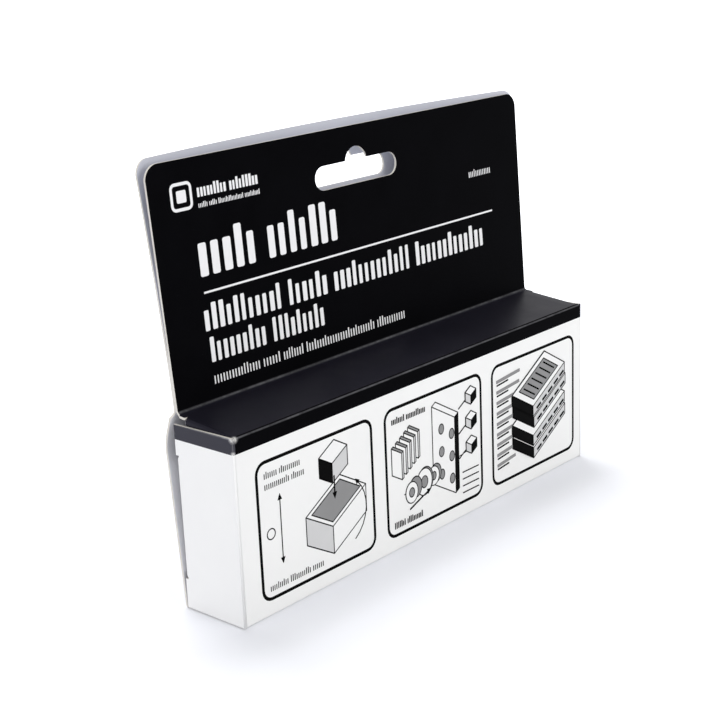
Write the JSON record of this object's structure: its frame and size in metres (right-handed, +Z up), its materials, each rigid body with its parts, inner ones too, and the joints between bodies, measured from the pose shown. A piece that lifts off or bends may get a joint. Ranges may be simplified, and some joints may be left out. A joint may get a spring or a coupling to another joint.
{
  "type": "hang tab carton",
  "caption": "Slim paperboard carton with a tall double header, a peg slot to hang it by and a hinged tuck flap at each end.",
  "frame": {"origin": "centre of the carton's base, on the surface it stands on", "axes": "+X along the carton's width, to the right seen from the front; -Y towards the printed front; +Z up towards the header"},
  "size_m": [0.143, 0.0309, 0.1097],
  "materials": {
    "carton_board": "coated and printed, satin",
    "flap_board": "coated and printed, satin"
  },
  "bodies": {
    "carton": {"carton": "carton_board"},
    "left_end_flap": {"left_end_flap": "flap_board"},
    "right_end_flap": {"right_end_flap": "flap_board"}
  },
  "joints": [
    {"name": "left_flap_hinge", "type": "hinge", "parent": "carton", "child": "left_end_flap", "pos_m": [-0.0712, -0.01, 0.024], "axis": [0, 0, 1], "range_deg": [0, 180]},
    {"name": "right_flap_hinge", "type": "hinge", "parent": "carton", "child": "right_end_flap", "pos_m": [0.0712, -0.01, 0.024], "axis": [0, 0, -1], "range_deg": [0, 180]}
  ]
}
